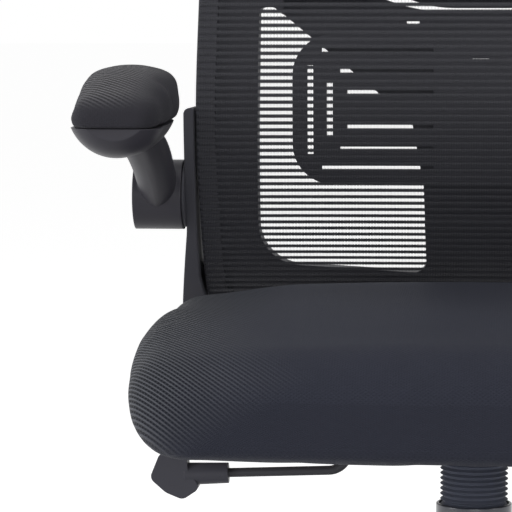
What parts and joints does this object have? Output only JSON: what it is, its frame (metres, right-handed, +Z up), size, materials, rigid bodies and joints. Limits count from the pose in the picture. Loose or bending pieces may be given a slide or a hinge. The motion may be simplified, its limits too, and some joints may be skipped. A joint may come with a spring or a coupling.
{
  "type": "office chair",
  "caption": "Swivel office chair with a mesh back over a moulded frame, padded seat, flip-up padded arms, height lever and a five-star caster base.",
  "frame": {"origin": "on the floor under the gas lift's axis", "axes": "+X to the right seen from in front, +Y to the rear, +Z up"},
  "size_m": [0.6547, 0.7098, 1.0394],
  "materials": {
    "base_nylon": "matt moulded nylon",
    "cover_plastic": "smooth satin black",
    "black_steel": "black powder coat",
    "bush_plastic": "plain moulded",
    "steel": "plain zinc steel",
    "boot_rubber": "matt black rubber",
    "grip_plastic": "fine grained black",
    "pan_wood": "moulded plywood",
    "seat_fabric": "black ribbed mesh cloth",
    "pad_fabric": "black mesh cloth",
    "mesh_fabric": "black striped knitted mesh",
    "frame_plastic": "matt black moulded",
    "arm_plastic": "matt black moulded",
    "caster_plastic": "smooth black",
    "wheel_plastic": "black nylon tread"
  },
  "bodies": {
    "base": {"star_base": "base_nylon", "stand_tube": "black_steel", "guide_bush": "bush_plastic", "column_cover": "cover_plastic", "thrust_race": "steel"},
    "piston": {"piston_rod": "steel", "rod_clip": "steel", "thrust_balls": "steel", "dust_boot": "boot_rubber"},
    "mechanism": {"pressure_cylinder": "black_steel", "mechanism_housing": "black_steel", "tilt_pin": "steel", "tilt_sleeve": "bush_plastic", "tilt_spring": "steel"},
    "valve": {"valve_button": "steel"},
    "lever_pivot": {"lever_bush": "bush_plastic"},
    "lever": {"lever_rod": "black_steel", "lever_handle": "grip_plastic"},
    "tension": {"tension_screw": "steel", "tension_knob": "grip_plastic"},
    "seat": {"seat_plate": "black_steel", "seat_pan": "pan_wood", "seat_cushion": "seat_fabric", "seat_bolts": "steel", "carrier_bolts": "steel", "back_carrier": "frame_plastic", "back_frame": "frame_plastic", "mesh_rim": "frame_plastic", "back_mesh": "mesh_fabric", "frame_screws": "steel", "arm_boss_left": "frame_plastic", "arm_boss_right": "frame_plastic", "arm_bolt_left": "steel", "arm_bolt_right": "steel"},
    "lumbar": {"lumbar_plate": "frame_plastic", "lumbar_slider": "frame_plastic"},
    "arm_left": {"arm_body_left": "arm_plastic", "arm_cap_left": "arm_plastic", "arm_pad_left": "pad_fabric"},
    "arm_right": {"arm_body_right": "arm_plastic", "arm_cap_right": "arm_plastic", "arm_pad_right": "pad_fabric"},
    "caster_1": {"caster_hood_1": "caster_plastic", "caster_pins_1": "steel"},
    "wheels_1": {"caster_wheels_1": "wheel_plastic"},
    "caster_2": {"caster_hood_2": "caster_plastic", "caster_pins_2": "steel"},
    "wheels_2": {"caster_wheels_2": "wheel_plastic"},
    "caster_3": {"caster_hood_3": "caster_plastic", "caster_pins_3": "steel"},
    "wheels_3": {"caster_wheels_3": "wheel_plastic"},
    "caster_4": {"caster_hood_4": "caster_plastic", "caster_pins_4": "steel"},
    "wheels_4": {"caster_wheels_4": "wheel_plastic"},
    "caster_5": {"caster_hood_5": "caster_plastic", "caster_pins_5": "steel"},
    "wheels_5": {"caster_wheels_5": "wheel_plastic"}
  },
  "joints": [
    {"name": "seat_swivel", "type": "hinge", "parent": "base", "child": "piston", "pos_m": [0, 0, 0.3], "axis": [0, 0, 1], "continuous": true},
    {"name": "seat_lift", "type": "slide", "parent": "piston", "child": "mechanism", "axis": [0, 0, 1], "range_m": [0, 0.08], "deforming": ["dust_boot"]},
    {"name": "seat_tilt", "type": "hinge", "parent": "mechanism", "child": "seat", "pos_m": [0, -0.045, 0.397], "axis": [-1, 0, 0], "range_deg": [0, 15], "stiffness_Nm_per_rad": 180, "springref_deg": -17.19},
    {"name": "arm_flip_left", "type": "hinge", "parent": "seat", "child": "arm_left", "pos_m": [-0.27, 0.213, 0.549], "axis": [-1, 0, 0], "range_deg": [0, 90]},
    {"name": "arm_flip_right", "type": "hinge", "parent": "seat", "child": "arm_right", "pos_m": [0.27, 0.213, 0.549], "axis": [-1, 0, 0], "range_deg": [0, 90]},
    {"name": "lumbar_shift", "type": "hinge", "parent": "seat", "child": "lumbar", "pos_m": [0, 0.517, 0.64], "axis": [1, 0, 0], "range_deg": [-4, 4]},
    {"name": "lever_lift", "type": "hinge", "parent": "mechanism", "child": "lever_pivot", "pos_m": [-0.054, 0, 0.396], "axis": [0, 1, 0], "range_deg": [0, 4], "stiffness_Nm_per_rad": 3, "springref_deg": -8.59},
    {"name": "lever_pull", "type": "slide", "parent": "lever_pivot", "child": "lever", "axis": [-1, 0, 0], "range_m": [0, 0.012]},
    {"name": "valve_press", "type": "slide", "parent": "mechanism", "child": "valve", "axis": [0, 0, -1], "range_m": [0, 0.0045]},
    {"name": "tension_turn", "type": "hinge", "parent": "mechanism", "child": "tension", "pos_m": [0.08, -0.079, 0.397], "axis": [1, 0, 0], "range_deg": [0, 1080]},
    {"name": "caster_swivel_1", "type": "hinge", "parent": "base", "child": "caster_1", "pos_m": [0, -0.3, 0.066], "axis": [0, 0, 1], "continuous": true},
    {"name": "wheel_spin_1", "type": "hinge", "parent": "caster_1", "child": "wheels_1", "pos_m": [0.0093, -0.31994, 0.0275], "axis": [0.9063, 0.4226, 0], "continuous": true},
    {"name": "caster_swivel_2", "type": "hinge", "parent": "base", "child": "caster_2", "pos_m": [0.28532, -0.09271, 0.066], "axis": [0, 0, 1], "continuous": true},
    {"name": "wheel_spin_2", "type": "hinge", "parent": "caster_2", "child": "wheels_2", "pos_m": [0.29698, -0.11136, 0.0275], "axis": [0.848, 0.5299, 0], "continuous": true},
    {"name": "caster_swivel_3", "type": "hinge", "parent": "base", "child": "caster_3", "pos_m": [0.17634, 0.24271, 0.066], "axis": [0, 0, 1], "continuous": true},
    {"name": "wheel_spin_3", "type": "hinge", "parent": "caster_3", "child": "wheels_3", "pos_m": [0.16739, 0.2628, 0.0275], "axis": [-0.9135, -0.4067, 0], "continuous": true},
    {"name": "caster_swivel_4", "type": "hinge", "parent": "base", "child": "caster_4", "pos_m": [-0.17634, 0.24271, 0.066], "axis": [0, 0, 1], "continuous": true},
    {"name": "wheel_spin_4", "type": "hinge", "parent": "caster_4", "child": "wheels_4", "pos_m": [-0.18422, 0.26324, 0.0275], "axis": [-0.9336, -0.3584, 0], "continuous": true},
    {"name": "caster_swivel_5", "type": "hinge", "parent": "base", "child": "caster_5", "pos_m": [-0.28532, -0.09271, 0.066], "axis": [0, 0, 1], "continuous": true},
    {"name": "wheel_spin_5", "type": "hinge", "parent": "caster_5", "child": "wheels_5", "pos_m": [-0.27177, -0.11004, 0.0275], "axis": [0.788, 0.6157, 0], "continuous": true}
  ],
  "couplings": [
    {"joint": "valve_press", "follows": "lever_lift", "m_per_rad": 0.058}
  ]
}
